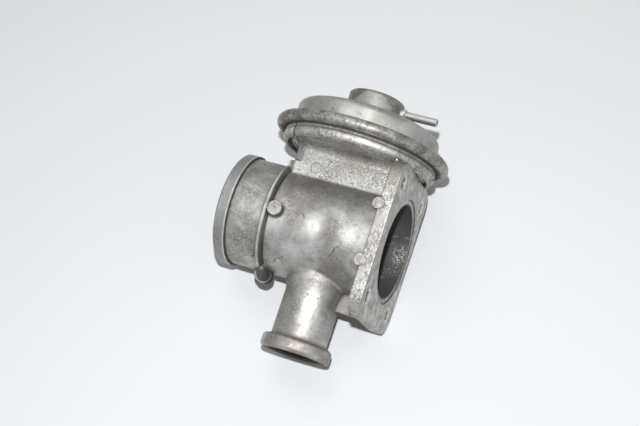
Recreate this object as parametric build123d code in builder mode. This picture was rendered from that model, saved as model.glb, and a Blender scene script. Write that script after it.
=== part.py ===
"""Vacuum-operated exhaust gas recirculation valve.

Frame: X runs along the air duct and points out of the four-bolt flange, Y runs along the
valve stem towards the vacuum actuator, Z completes the frame. The origin is the centre of
the duct's mouth in the machined flange face. All sizes are in millimetres.
"""
from build123d import *
import os

os.makedirs("parts", exist_ok=True)

# Air duct
duct_length = 95.6
duct_outer_r = 30.0
duct_wall = 4.6
duct_edge = 0.8
mouth_step = 0.6
mouth_bore_depth = 16.0

# Hose spigot
lip_height = 1.3
lip_width = 6.8
lip_edge = 1.0
rib_width = 2.0
rib_height = 2.4
rib_root = 1.5
rib_round = 0.5

# Four-bolt flange
bolt_spacing_y = 63.0
bolt_spacing_z = 51.5
flange_margin_y = 11.0
flange_margin_z = 10.55
flange_rise = 3.0
flange_thickness = 7.2
flange_edge = 0.8
bolt_hole_r = 3.3
bolt_hole_edge = 1.0
seal_recess_width = 3.4
seal_recess_depth = 0.8

# Neck between the duct and the actuator bowl
neck_thickness = 36.0
neck_inset = 14.3
neck_from_rib = 2.2
neck_edge = 1.5
neck_root = 5.0
neck_foot = 2.0
ledge_rise = 1.0
ejector_mark_r = 3.0
ejector_mark_depth = 0.3
ejector_mark_from_neck = 13.3
ejector_mark_height = 29.9

# Exhaust inlet pipe
pipe_end = 69.5
pipe_outer_r = 15.6
pipe_wall = 2.0
pipe_root_flare = 2.0
pipe_root_length = 8.0
pipe_saddle = 2.0
bead_height = 3.9
bead_width = 7.8
bead_edge = 2.2
bead_foot = 0.8
mouth_edge = 1.4
web_thickness = 6.0
web_drop = 10.4

# Moulding bosses
boss_r = 3.1
boss_spacing = 31.2
boss_proud = 0.4
boss_depth = 9.0
pad_r = 3.9
pad_from_rib = 5.6
pad_height = 3.4
pad_edge = 0.5
lobe_r = 4.8
lobe_half = 3.0
lobe_edge = 1.2

# Actuator bowl, part of the casting
clamp_plane = 51.8
bowl_outer_r = 43.5
bowl_overhang = 6.5
bowl_wall = 4.5
bowl_depth = 7.2
bowl_base = 2.8
bowl_round = 7.0
clamp_flange_width = 3.1
clamp_flange_thickness = 1.8
vent_r = 1.6
vent_from_neck = 12.0

# Valve seat and poppet
seat_proud = 0.9
seat_height = 4.6
seat_shoulder = 0.8
seat_throat = 3.1
seat_cone = 2.5
seat_gap = 0.35
head_inset = 0.6
head_land = 1.4
head_depth = 2.4
head_hub_r = 5.0
head_hub_rise = 2.3
lift = 7.0

# Stem, its guide and its seals
stem_r = 3.5
stem_running_gap = 0.03
stem_free_gap = 0.3
tenon_step = 0.6
tenon_edge = 0.4
guide_wall = 2.5
guide_boss_wall = 2.5
guide_proud = 5.9
scraper_height = 1.5
cup_wall = 1.0
cup_height = 6.2
seal_pocket_step = 0.5
seal_height = 3.0
seal_lip_width = 1.7
retainer_height = 1.2
pocket_edge = 0.4

# Diaphragm and its plates
plate_wall = 1.2
shoulder_drop = 4.4
collar_r = 8.0
upper_plate_r = 28.6
upper_plate_rim = 5.0
plate_step = 0.6
lower_plate_dish = 2.2
rubber = 1.2
roll_gap = 0.3
roll_rise = 2.6
washer_height = 2.0
washer_edge = 0.5
thread_step = 1.0
nut_across_flats = 8.0
nut_height = 4.0
stem_over_nut = 1.2

# Cover and crimp ring
sheet = 1.2
cover_flange_width = 5.9
cover_depth = 14.6
cover_round = 3.6
cover_rise = 1.4
turret_r = 16.0
turret_rise = 14.8
turret_round = 2.0
turret_foot = 1.2
flange_foot = 1.6
crimp_sheet = 1.1
crimp_lip = 2.6

# Vacuum nipple
nipple_drop = 5.9
nipple_length = 20.6
nipple_r = 2.25
nipple_wall = 0.95
nipple_root_step = 0.25
nipple_inside = 1.0
nipple_edge = 0.3
nipple_collar_width = 0.8
nipple_collar_length = 2.6
nipple_collar_edge = 0.65

# Return spring, its seat and the lift stop
wire_r = 1.1
spring_gap = 0.3
spring_turns = 5.5
spring_seat_side_gap = 1.1
spring_seat_lip = 0.6
spring_seat_lip_wall = 0.3
stop_r = 5.0
stop_gap = 0.3
stop_edge = 1.0

# Places and radii worked out from the sizes above
stem_from_face = bowl_outer_r - bowl_overhang
stem_x = -stem_from_face
stem_axis = Axis((stem_x, 0, 0), (0, 1, 0))
stem_plane = Plane(origin=(stem_x, 0, 0), x_dir=(1, 0, 0), z_dir=(0, 0, 1))
duct_bore_r = duct_outer_r - duct_wall
mouth_bore_r = duct_bore_r + mouth_step
seal_recess_r = mouth_bore_r + seal_recess_width
flange_back = -flange_thickness
flange_height = bolt_spacing_y + 2 * flange_margin_y
flange_width = bolt_spacing_z + 2 * flange_margin_z
neck_x = stem_x - bowl_outer_r + neck_inset
rib_x = neck_x - neck_from_rib
pipe_bore_r = pipe_outer_r - pipe_wall
pipe_root_r = pipe_outer_r + pipe_root_flare
pipe_bead_r = pipe_outer_r + bead_height
bowl_inner_r = bowl_outer_r - bowl_wall
bowl_floor = clamp_plane - bowl_depth
bowl_underside = bowl_floor - bowl_base
clamp_flange_r = bowl_outer_r + clamp_flange_width
seat_top = duct_bore_r - seat_proud
seat_outer_r = pipe_bore_r + seat_shoulder
seat_bore_r = pipe_bore_r - seat_throat
seat_cone_r = seat_bore_r + seat_cone
head_r = seat_cone_r - head_inset
tenon_r = stem_r - tenon_step
thread_r = stem_r - thread_step
guide_bottom = duct_bore_r - guide_proud
guide_outer_r = stem_r + guide_wall
guide_boss_r = guide_outer_r + guide_boss_wall
seal_pocket_r = guide_boss_r + seal_pocket_step
guide_top = bowl_floor - pocket_edge - retainer_height - seal_height
stem_shoulder = clamp_plane - shoulder_drop
plate_low = stem_shoulder + plate_wall
disc_low = plate_low + plate_wall
disc_top = disc_low + rubber
plate_top = disc_top + plate_wall
washer_top = plate_top + washer_height
nut_top = washer_top + nut_height
stem_top = nut_top + stem_over_nut
cover_foot = clamp_plane + rubber
cover_flange_top = cover_foot + sheet
cover_wall_r = clamp_flange_r - cover_flange_width
cover_shoulder = clamp_plane + cover_depth
turret_top = cover_shoulder + turret_rise
turret_ceiling = turret_top - sheet
lower_plate_r = upper_plate_r - plate_step
roll_outer_r = cover_wall_r - sheet - roll_gap - rubber / 2
roll_inner_r = upper_plate_r + roll_gap + rubber / 2
spring_seat_r = turret_r - sheet - spring_seat_side_gap
seat_plate_low = turret_ceiling - sheet
spring_coil_r = spring_seat_r - spring_gap - wire_r
washer_r = spring_coil_r - wire_r - spring_gap
nipple_height = turret_top - nipple_drop
nipple_bore_r = nipple_r - nipple_wall
nipple_root_r = nipple_r + nipple_root_step
nipple_collar_r = nipple_root_r + nipple_collar_width
crimp_centre_y = (clamp_plane - clamp_flange_thickness + cover_flange_top) / 2
crimp_inner_r = (cover_flange_top - clamp_plane + clamp_flange_thickness) / 2


def at_height(y):
    """Plane across the stem axis at height y, facing up the stem."""
    return Plane(origin=(stem_x, y, 0), x_dir=(1, 0, 0), z_dir=(0, 1, 0))


# Four-bolt flange of the casting, its rims rounded
with BuildPart() as flange_blank:
    with BuildSketch(Plane.YZ.offset(flange_back)):
        with Locations((0, flange_rise)):
            RectangleRounded(flange_height, flange_width, flange_margin_y)
    extrude(amount=flange_thickness)
    flange_rims = flange_blank.edges().group_by(Axis.X)
    fillet(flange_rims[0] + flange_rims[-1], flange_edge)

# Body casting: the duct with its spigot, flange, neck, bowl and inlet pipe in one piece
with BuildPart() as body_casting:
    with BuildSketch(Plane.XY):
        with BuildLine():
            lip_r = duct_outer_r + lip_height
            lip_x = lip_width - duct_length
            Polyline(
                (-duct_length, 0),
                (-duct_length, lip_r - lip_edge),
                (lip_edge - duct_length, lip_r),
                (lip_x, lip_r),
                (lip_x, duct_outer_r),
                (flange_back, duct_outer_r),
                (flange_back, 0),
                close=True,
            )
        make_face()
    revolve(axis=Axis.X)

    # Neck, standing on the duct
    neck_length = flange_back + flange_thickness / 2 - neck_x
    with BuildSketch(Plane.XZ.offset(-bowl_floor)):
        with Locations((neck_x + neck_length / 2, 0)):
            RectangleRounded(neck_length, neck_thickness, neck_edge)
    extrude(amount=bowl_floor)
    fillet(body_casting.edges(Select.NEW).filter_by(Axis.X).group_by(Axis.Y)[0], neck_foot)
    with BuildSketch(Plane.XY.offset(neck_thickness / 2)):
        with Locations((neck_x + ejector_mark_from_neck, ejector_mark_height)):
            Circle(ejector_mark_r)
    extrude(amount=-ejector_mark_depth, mode=Mode.SUBTRACT)

    # Bowl, flowing into the neck
    with BuildSketch(stem_plane):
        with BuildLine():
            flange_low = clamp_plane - clamp_flange_thickness
            FilletPolyline(
                (0, bowl_underside),
                (bowl_outer_r - bowl_round, bowl_underside),
                (bowl_outer_r, flange_low - bowl_round / 3),
                (bowl_outer_r, flange_low),
                radius=bowl_round / 2,
            )
            Polyline(
                (bowl_outer_r, flange_low),
                (clamp_flange_r, flange_low),
                (clamp_flange_r, clamp_plane),
                (0, clamp_plane),
                (0, bowl_underside),
            )
        make_face()
    revolve(axis=stem_axis)
    neck_head = body_casting.edges(Select.NEW).filter_by_position(Axis.Y, bowl_underside, bowl_underside)
    half_neck = neck_thickness / 2
    neck_head = neck_head.filter_by_position(Axis.Z, -half_neck, half_neck).filter_by_position(
        Axis.X, neck_x, flange_back)
    fillet(neck_head, neck_root)

    # Exhaust inlet pipe with its clamp bead
    with BuildSketch(stem_plane):
        with BuildLine():
            root_end = pipe_root_flare - duct_outer_r
            bead_top = bead_width - pipe_end
            FilletPolyline(
                (0, -pipe_end),
                (pipe_bead_r, -pipe_end),
                (pipe_bead_r, bead_top),
                (pipe_outer_r, bead_top),
                (pipe_outer_r, root_end - pipe_root_length),
                (pipe_root_r, root_end),
                (pipe_root_r, 0),
                radius=[bead_edge, bead_edge, bead_foot, pipe_root_length, pipe_root_length],
            )
            Line((pipe_root_r, 0), (0, 0))
            Line((0, 0), (0, -pipe_end))
        make_face()
    revolve(axis=stem_axis)
    pipe_foot = body_casting.edges(Select.NEW).filter_by(GeomType.BSPLINE)
    fillet(pipe_foot, pipe_saddle)

    add(flange_blank.part)

    # Web between the pipe and the flange
    with BuildSketch(Plane.XY):
        web_length = stem_from_face - flange_thickness
        with Locations((flange_back - web_length / 2, -(duct_outer_r + web_drop) / 2)):
            Rectangle(web_length, duct_outer_r + web_drop)
    extrude(amount=web_thickness / 2, both=True)

    # Hose stop rib, with a step up to the neck
    with BuildSketch(Plane.XY):
        with BuildLine():
            rib_r = duct_outer_r + rib_height
            rib_foot_x = rib_x + rib_width / 2 + rib_root
            Polyline(
                (rib_foot_x, duct_outer_r),
                (rib_foot_x, duct_outer_r - rib_root),
                (rib_x - rib_width / 2, duct_outer_r - rib_root),
                (rib_x - rib_width / 2, duct_outer_r),
            )
            FilletPolyline(
                (rib_x - rib_width / 2, duct_outer_r),
                (rib_x - rib_width / 2, rib_r),
                (rib_x + rib_width / 2, rib_r),
                (rib_foot_x, duct_outer_r),
                radius=rib_round,
            )
        make_face()
    revolve(axis=Axis.X)
    with BuildSketch(Plane.YZ.offset(rib_x - rib_width / 2)):
        with Locations(((duct_outer_r + ledge_rise) / 2, 0)):
            Rectangle(duct_outer_r + ledge_rise, neck_thickness - 2 * neck_edge)
    extrude(amount=neck_x + neck_edge - rib_x + rib_width / 2)

    # Moulding bosses: two on the flange, a pad and a lobe at the rib
    with BuildSketch(Plane.XY.offset(flange_rise + flange_width / 2 + boss_proud)):
        with Locations((flange_back, 0)):
            with GridLocations(0, boss_spacing, 1, 2):
                Circle(boss_r)
    extrude(amount=-boss_depth)
    with BuildSketch(Plane.XY.offset(duct_outer_r - pad_height)):
        with Locations((rib_x + pad_from_rib, 0)):
            Circle(pad_r)
    extrude(amount=2 * pad_height)
    fillet(body_casting.edges(Select.NEW).group_by(Axis.Z)[-1], pad_edge)
    lobe_centre = (rib_x, -duct_outer_r - rib_height / 2, 0)
    with BuildSketch(Plane(origin=lobe_centre, x_dir=(1, 0, 0), z_dir=(0, -1, 0))):
        with BuildLine():
            FilletPolyline(
                (0, -lobe_half),
                (lobe_r, -lobe_half),
                (lobe_r, lobe_half),
                (0, lobe_half),
                radius=lobe_edge,
            )
            Line((0, lobe_half), (0, -lobe_half))
        make_face()
    revolve(axis=Axis(lobe_centre, (0, 0, 1)))

    # Bores of the duct, the guide and the pipe
    with BuildSketch(Plane.XY):
        with BuildLine():
            Polyline(
                (0, 0),
                (0, seal_recess_r),
                (-seal_recess_depth, seal_recess_r),
                (-seal_recess_depth, mouth_bore_r),
                (-mouth_bore_depth, mouth_bore_r),
                (-mouth_bore_depth, duct_bore_r),
                (duct_edge - duct_length, duct_bore_r),
                (-duct_length, duct_bore_r + duct_edge),
                (-duct_length, 0),
                close=True,
            )
        make_face()
    revolve(axis=Axis.X, mode=Mode.SUBTRACT)
    with BuildSketch(at_height(guide_bottom)):
        Circle(guide_boss_r)
    extrude(amount=guide_top - guide_bottom)
    with BuildSketch(at_height(guide_bottom)):
        Circle(guide_outer_r)
    extrude(amount=clamp_plane, mode=Mode.SUBTRACT)
    with BuildSketch(at_height(guide_top)):
        Circle(seal_pocket_r)
    extrude(amount=clamp_plane, mode=Mode.SUBTRACT)
    with BuildSketch(at_height(bowl_floor)):
        Circle(bowl_inner_r)
    extrude(amount=clamp_plane, mode=Mode.SUBTRACT)
    with BuildSketch(stem_plane):
        with BuildLine():
            Polyline(
                (0, 0),
                (0, -pipe_end),
                (pipe_bore_r + mouth_edge, -pipe_end),
                (pipe_bore_r, mouth_edge - pipe_end),
                (pipe_bore_r, -seat_top - seat_height),
                (seat_outer_r, -seat_top - seat_height),
                (seat_outer_r, 0),
                close=True,
            )
        make_face()
    revolve(axis=stem_axis, mode=Mode.SUBTRACT)

    # Bolt holes, their front edges chamfered, and the bowl's vent
    with Locations(Plane.YZ):
        with Locations((0, flange_rise)):
            with GridLocations(bolt_spacing_y, bolt_spacing_z, 2, 2):
                Cylinder(bolt_hole_r, flange_thickness, align=(Align.CENTER, Align.CENTER, Align.MAX),
                         mode=Mode.SUBTRACT)
                Cone(bolt_hole_r, bolt_hole_r + bolt_hole_edge, bolt_hole_edge,
                     align=(Align.CENTER, Align.CENTER, Align.MAX), mode=Mode.SUBTRACT)
    with BuildSketch(at_height(bowl_underside)):
        with Locations((0, half_neck + vent_from_neck)):
            Circle(vent_r)
    extrude(amount=bowl_base, mode=Mode.SUBTRACT)
body_casting.part.label = "body_casting"

# Valve seat: hardened ring pressed in the top of the inlet pipe
with BuildPart() as valve_seat:
    with BuildSketch(stem_plane):
        with BuildLine():
            cone_low = -seat_top - (seat_cone_r - seat_bore_r)
            Polyline(
                (seat_bore_r, -seat_top - seat_height),
                (seat_outer_r, -seat_top - seat_height),
                (seat_outer_r, -seat_top),
                (seat_cone_r, -seat_top),
                (seat_bore_r, cone_low),
                close=True,
            )
        make_face()
    revolve(axis=stem_axis)
valve_seat.part.label = "valve_seat"

# Poppet: disc with a cone that lands on the seat, riveted on the stem's tenon
head_rim_low = -seat_top - (seat_cone_r - head_r) + seat_gap
head_low = head_rim_low - head_depth
head_shoulder = head_rim_low + head_land
head_top = head_shoulder + head_hub_rise
with BuildPart() as valve_head:
    with BuildSketch(stem_plane):
        with BuildLine():
            Polyline(
                (tenon_r, head_low),
                (head_r - head_depth, head_low),
                (head_r, head_rim_low),
                (head_r, head_shoulder),
                (head_hub_r, head_top),
                (tenon_r, head_top),
                close=True,
            )
        make_face()
    revolve(axis=stem_axis)
valve_head.part.label = "valve_head"

# Stem: ground rod, tenon below for the poppet, thread above for the diaphragm's nut
with BuildPart() as valve_stem:
    with BuildSketch(stem_plane):
        with BuildLine():
            Polyline(
                (0, head_low - tenon_edge),
                (tenon_r - tenon_edge, head_low - tenon_edge),
                (tenon_r, head_low),
                (tenon_r, head_top),
                (stem_r, head_top),
                (stem_r, stem_shoulder),
                (thread_r, stem_shoulder),
                (thread_r, stem_top),
                (0, stem_top),
                close=True,
            )
        make_face()
    revolve(axis=stem_axis)
valve_stem.part.label = "valve_stem"

# Guide bush: pressed in the neck, the stem runs in it
with BuildPart() as stem_guide:
    with BuildSketch(at_height(guide_bottom)):
        Circle(guide_outer_r)
        Circle(stem_r + stem_running_gap, mode=Mode.SUBTRACT)
    extrude(amount=guide_top - guide_bottom)
stem_guide.part.label = "stem_guide"

# Scraper: carbon ring that keeps soot out of the guide
with BuildPart() as stem_scraper:
    with BuildSketch(at_height(guide_bottom - scraper_height)):
        Circle(guide_boss_r)
        Circle(stem_r + 2 * stem_running_gap, mode=Mode.SUBTRACT)
    extrude(amount=scraper_height)
stem_scraper.part.label = "stem_scraper"

# Cup: pressed over the guide boss, it holds the scraper
with BuildPart() as scraper_cup:
    with BuildSketch(at_height(guide_bottom - scraper_height - cup_wall)):
        Circle(guide_boss_r + cup_wall)
    extrude(amount=cup_height)
    cup_rim = scraper_cup.edges().filter_by(GeomType.CIRCLE).sort_by(Axis.Y)[0]
    fillet(cup_rim, cup_wall)
    with BuildSketch(at_height(guide_bottom - scraper_height)):
        Circle(guide_boss_r)
    extrude(amount=cup_height, mode=Mode.SUBTRACT)
    with BuildSketch(at_height(0)):
        Circle(stem_r + stem_free_gap)
    extrude(amount=guide_bottom, mode=Mode.SUBTRACT)
scraper_cup.part.label = "scraper_cup"

# Stem seal: rubber ring with a lip, in its pocket above the guide
with BuildPart() as stem_seal:
    with BuildSketch(stem_plane):
        with BuildLine():
            seal_bore_r = stem_r + 2 * stem_running_gap
            seal_lip_r = stem_r + seal_lip_width
            Polyline(
                (seal_bore_r, guide_top),
                (seal_pocket_r, guide_top),
                (seal_pocket_r, guide_top + seal_height),
                (seal_lip_r + rubber, guide_top + seal_height),
                (seal_lip_r, guide_top + seal_height / 2),
                (seal_bore_r, guide_top + seal_height),
                close=True,
            )
        make_face()
    revolve(axis=stem_axis)
stem_seal.part.label = "stem_seal"

# Retainer: pressed washer that closes the seal's pocket
with BuildPart() as seal_retainer:
    with BuildSketch(at_height(guide_top + seal_height)):
        Circle(seal_pocket_r)
        Circle(stem_r + stem_free_gap, mode=Mode.SUBTRACT)
    extrude(amount=retainer_height)
seal_retainer.part.label = "seal_retainer"

# Collar: washer on the stem's shoulder
with BuildPart() as stem_collar:
    with BuildSketch(at_height(stem_shoulder)):
        Circle(collar_r)
        Circle(thread_r, mode=Mode.SUBTRACT)
    extrude(amount=plate_wall)
stem_collar.part.label = "stem_collar"

# Lower plate: pressed disc under the diaphragm, its edge turned down
with BuildPart() as lower_plate:
    with BuildSketch(stem_plane):
        with BuildLine():
            Polyline(
                (thread_r, plate_low),
                (lower_plate_r - plate_wall - lower_plate_dish, plate_low),
                (lower_plate_r - plate_wall, plate_low - lower_plate_dish),
                (lower_plate_r, plate_low - lower_plate_dish),
                (lower_plate_r, plate_low),
                (lower_plate_r - plate_wall, disc_low),
                (thread_r, disc_low),
                close=True,
            )
        make_face()
    revolve(axis=stem_axis)
lower_plate.part.label = "lower_plate"

# Diaphragm: fabric-reinforced rubber, its bead in the crimp and one roll inside the cover
with BuildPart() as diaphragm:
    with BuildSketch(stem_plane):
        with BuildLine():
            half_rubber = rubber / 2
            roll_r = (roll_outer_r - roll_inner_r) / 2
            roll_mid_r = (roll_outer_r + roll_inner_r) / 2
            roll_y = cover_flange_top + roll_rise
            Polyline(
                (roll_inner_r - half_rubber, roll_y),
                (roll_inner_r - half_rubber, disc_top),
                (thread_r + stem_free_gap, disc_top),
                (thread_r + stem_free_gap, disc_low),
                (roll_inner_r + half_rubber, disc_low),
                (roll_inner_r + half_rubber, roll_y),
            )
            ThreePointArc(
                (roll_inner_r + half_rubber, roll_y),
                (roll_mid_r, roll_y + roll_r - half_rubber),
                (roll_outer_r - half_rubber, roll_y),
            )
            Polyline(
                (roll_outer_r - half_rubber, roll_y),
                (roll_outer_r - half_rubber, clamp_plane),
                (clamp_flange_r, clamp_plane),
                (clamp_flange_r, cover_foot),
                (roll_outer_r + half_rubber, cover_foot),
                (roll_outer_r + half_rubber, roll_y),
            )
            ThreePointArc(
                (roll_outer_r + half_rubber, roll_y),
                (roll_mid_r, roll_y + roll_r + half_rubber),
                (roll_inner_r - half_rubber, roll_y),
            )
        make_face()
    revolve(axis=stem_axis)
diaphragm.part.label = "diaphragm"

# Upper plate: pressed disc on the diaphragm, its rim turned up to guide the roll
with BuildPart() as upper_plate:
    with BuildSketch(stem_plane):
        with BuildLine():
            Polyline(
                (thread_r, disc_top),
                (upper_plate_r - plate_wall / 2, disc_top),
                (upper_plate_r, disc_top + plate_wall / 2),
                (upper_plate_r, disc_top + upper_plate_rim),
                (upper_plate_r - plate_wall, disc_top + upper_plate_rim),
                (upper_plate_r - plate_wall, plate_top),
                (thread_r, plate_top),
                close=True,
            )
        make_face()
    revolve(axis=stem_axis)
upper_plate.part.label = "upper_plate"

# Clamp washer: it presses the plates together and centres the spring
with BuildPart() as clamp_washer:
    with BuildSketch(at_height(plate_top)):
        Circle(washer_r)
        Circle(thread_r, mode=Mode.SUBTRACT)
    extrude(amount=washer_height)
    washer_rims = clamp_washer.edges().group_by(Axis.Y)[-1]
    chamfer(washer_rims.sort_by(SortBy.RADIUS)[-1], washer_edge)
clamp_washer.part.label = "clamp_washer"

# Nut on the stem's thread
with BuildPart() as stem_nut:
    with BuildSketch(at_height(washer_top)):
        RegularPolygon(nut_across_flats / 2, 6, major_radius=False)
        Circle(thread_r, mode=Mode.SUBTRACT)
    extrude(amount=nut_height)
stem_nut.part.label = "stem_nut"

# Return spring: it stands on the upper plate round the washer
spring_low = plate_top + wire_r
spring_height = seat_plate_low - wire_r - spring_low
with BuildPart() as return_spring:
    with BuildLine():
        coil = Helix(
            spring_height / spring_turns,
            spring_height,
            spring_coil_r,
            center=(stem_x, spring_low, 0),
            direction=(0, 1, 0),
        )
    with BuildSketch(Plane(origin=coil @ 0, z_dir=coil % 0)):
        Circle(wire_r)
    sweep(is_frenet=True)
return_spring.part.label = "return_spring"

# Spring seat: pressed disc with a turned-down edge in the top of the turret
with BuildPart() as spring_seat:
    with BuildSketch(at_height(seat_plate_low)):
        Circle(spring_seat_r)
        Circle(stop_r, mode=Mode.SUBTRACT)
    extrude(amount=sheet)
    with BuildSketch(at_height(seat_plate_low)):
        Circle(spring_seat_r)
        Circle(spring_seat_r - spring_seat_lip_wall, mode=Mode.SUBTRACT)
    extrude(amount=-spring_seat_lip)
spring_seat.part.label = "spring_seat"

# Travel stop: the stem's end meets it at full lift
with BuildPart() as travel_stop:
    stop_low = stem_top + lift + stop_gap
    with BuildSketch(at_height(stop_low)):
        Circle(stop_r)
    extrude(amount=turret_ceiling - stop_low)
    stop_tip = travel_stop.edges().filter_by(GeomType.CIRCLE).sort_by(Axis.Y)[0]
    chamfer(stop_tip, stop_edge)
travel_stop.part.label = "travel_stop"

# Cover: deep-drawn sheet, a flat dish with the turret in its middle
with BuildPart() as cover:
    with BuildSketch(stem_plane):
        with BuildLine():
            dish_top = cover_shoulder + cover_rise
            FilletPolyline(
                (clamp_flange_r, cover_flange_top),
                (cover_wall_r, cover_flange_top),
                (cover_wall_r, cover_shoulder),
                (turret_r, dish_top),
                (turret_r, turret_top),
                (0, turret_top),
                radius=[flange_foot, cover_round, turret_foot, turret_round],
            )
            Polyline(
                (0, turret_top),
                (0, cover_foot),
                (clamp_flange_r, cover_foot),
                (clamp_flange_r, cover_flange_top),
            )
        make_face()
    revolve(axis=stem_axis)
    with BuildSketch(stem_plane):
        with BuildLine():
            FilletPolyline(
                (cover_wall_r - sheet, cover_foot),
                (cover_wall_r - sheet, cover_shoulder - sheet),
                (turret_r - sheet, dish_top - sheet),
                (turret_r - sheet, turret_ceiling),
                (0, turret_ceiling),
                radius=[cover_round - sheet, turret_foot + sheet, turret_round - sheet],
            )
            Polyline(
                (0, turret_ceiling),
                (0, cover_foot),
                (cover_wall_r - sheet, cover_foot),
            )
        make_face()
    revolve(axis=stem_axis, mode=Mode.SUBTRACT)
    with BuildSketch(Plane.YZ.offset(stem_x)):
        with Locations((nipple_height, 0)):
            Circle(nipple_root_r)
    extrude(amount=turret_r + sheet, mode=Mode.SUBTRACT)
cover.part.label = "cover"

# Crimp ring: rolled sheet that clamps the bowl, the diaphragm's bead and the cover
with BuildPart() as crimp_ring:
    with BuildSketch(stem_plane):
        with BuildLine():
            lip_end_r = clamp_flange_r - crimp_lip
            outer_bend_r = crimp_inner_r + crimp_sheet
            Polyline(
                (clamp_flange_r, crimp_centre_y + crimp_inner_r),
                (lip_end_r, crimp_centre_y + crimp_inner_r),
                (lip_end_r, crimp_centre_y + outer_bend_r),
                (clamp_flange_r, crimp_centre_y + outer_bend_r),
            )
            ThreePointArc(
                (clamp_flange_r, crimp_centre_y + outer_bend_r),
                (clamp_flange_r + outer_bend_r, crimp_centre_y),
                (clamp_flange_r, crimp_centre_y - outer_bend_r),
            )
            Polyline(
                (clamp_flange_r, crimp_centre_y - outer_bend_r),
                (lip_end_r, crimp_centre_y - outer_bend_r),
                (lip_end_r, crimp_centre_y - crimp_inner_r),
                (clamp_flange_r, crimp_centre_y - crimp_inner_r),
            )
            ThreePointArc(
                (clamp_flange_r, crimp_centre_y - crimp_inner_r),
                (clamp_flange_r + crimp_inner_r, crimp_centre_y),
                (clamp_flange_r, crimp_centre_y + crimp_inner_r),
            )
        make_face()
    revolve(axis=stem_axis)
crimp_ring.part.label = "crimp_ring"

# Vacuum nipple: steel tube through the turret's wall, thicker where it is brazed in
nipple_start = stem_x + turret_r - sheet - nipple_inside
nipple_root_end = stem_x + turret_r + nipple_collar_length
nipple_end = stem_x + turret_r + nipple_length
with BuildPart() as vacuum_nipple:
    with BuildSketch(Plane.XY):
        with BuildLine():
            Polyline(
                (nipple_start, nipple_height + nipple_bore_r),
                (nipple_start, nipple_height + nipple_root_r),
                (nipple_root_end, nipple_height + nipple_root_r),
                (nipple_root_end, nipple_height + nipple_r),
                (nipple_end - nipple_edge, nipple_height + nipple_r),
                (nipple_end, nipple_height + nipple_r - nipple_edge),
                (nipple_end, nipple_height + nipple_bore_r),
                close=True,
            )
        make_face()
    revolve(axis=Axis((0, nipple_height, 0), (1, 0, 0)))
vacuum_nipple.part.label = "vacuum_nipple"

# Nipple collar: brazed cone at the nipple's root, shaped to the turret's wall
with BuildPart() as nipple_collar:
    with BuildSketch(Plane.YZ.offset(stem_x + turret_r / 2)):
        with Locations((nipple_height, 0)):
            Circle(nipple_collar_r)
    extrude(amount=turret_r / 2 + nipple_collar_length)
    collar_end = nipple_collar.edges().filter_by(GeomType.CIRCLE).sort_by(Axis.X)[-1]
    chamfer(collar_end, nipple_collar_edge)
    with BuildSketch(at_height(nipple_height)):
        Circle(turret_r)
    extrude(amount=2 * nipple_collar_r, both=True, mode=Mode.SUBTRACT)
    with BuildSketch(Plane.YZ.offset(stem_x)):
        with Locations((nipple_height, 0)):
            Circle(nipple_root_r)
    extrude(amount=2 * turret_r, mode=Mode.SUBTRACT)
nipple_collar.part.label = "nipple_collar"

pieces = [
    body_casting, valve_seat, valve_head, valve_stem, stem_guide, stem_scraper, scraper_cup,
    stem_seal, seal_retainer, stem_collar, lower_plate, diaphragm, upper_plate, clamp_washer,
    stem_nut, return_spring, spring_seat, travel_stop, cover, crimp_ring, vacuum_nipple,
    nipple_collar,
]
for piece in pieces:
    export_step(piece.part, f"parts/{piece.part.label}.step")
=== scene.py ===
"""Vacuum-operated exhaust gas recirculation valve, lying on a pale table."""
import math

import bmesh
import bpy
from mathutils import Matrix, Vector


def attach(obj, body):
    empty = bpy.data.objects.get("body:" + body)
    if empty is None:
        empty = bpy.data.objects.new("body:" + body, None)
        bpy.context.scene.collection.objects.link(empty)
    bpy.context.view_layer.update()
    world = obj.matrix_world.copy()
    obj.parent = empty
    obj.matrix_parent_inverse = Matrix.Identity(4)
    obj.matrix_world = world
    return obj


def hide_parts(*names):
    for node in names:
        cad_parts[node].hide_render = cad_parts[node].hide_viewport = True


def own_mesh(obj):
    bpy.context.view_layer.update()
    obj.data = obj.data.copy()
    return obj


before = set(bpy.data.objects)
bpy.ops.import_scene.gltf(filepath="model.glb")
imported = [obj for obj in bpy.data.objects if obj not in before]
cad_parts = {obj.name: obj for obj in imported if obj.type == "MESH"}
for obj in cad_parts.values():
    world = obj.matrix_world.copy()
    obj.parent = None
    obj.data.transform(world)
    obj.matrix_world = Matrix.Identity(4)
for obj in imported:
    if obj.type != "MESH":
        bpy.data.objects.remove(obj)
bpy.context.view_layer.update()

scene = bpy.context.scene
scene.view_settings.view_transform = "Standard"

# ----------------------------------------
# Camera: a hand-held camera with a long lens, about 0.75 m above the table,
# looking down on the duct's side with the flange to the right.
# ----------------------------------------
camera_place = Vector((0.19345, -0.13372, 0.75580))
camera_right = Vector((0.9211, 0.3100, -0.2357))
camera_up = Vector((-0.2486, 0.9339, 0.2569))
camera_back = camera_right.cross(camera_up).normalized()
camera_data = bpy.data.cameras.new("camera")
camera_data.sensor_width = 36
camera_data.lens = 82.3
camera = bpy.data.objects.new("camera", camera_data)
camera.matrix_world = Matrix.Translation(camera_place) @ Matrix(
    (camera_right, camera_up, camera_back)).transposed().to_4x4()
scene.collection.objects.link(camera)
scene.camera = camera

# ----------------------------------------
# Table: a matt white board. The valve rests on the crimp ring, the flange and
# the spigot's lip, so the board lies aslant in the valve's own frame.
# ----------------------------------------
table_normal = Vector((0.098, 0.226, 0.9692)).normalized()
table_offset = -0.0404
table_half = 1.6


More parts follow.
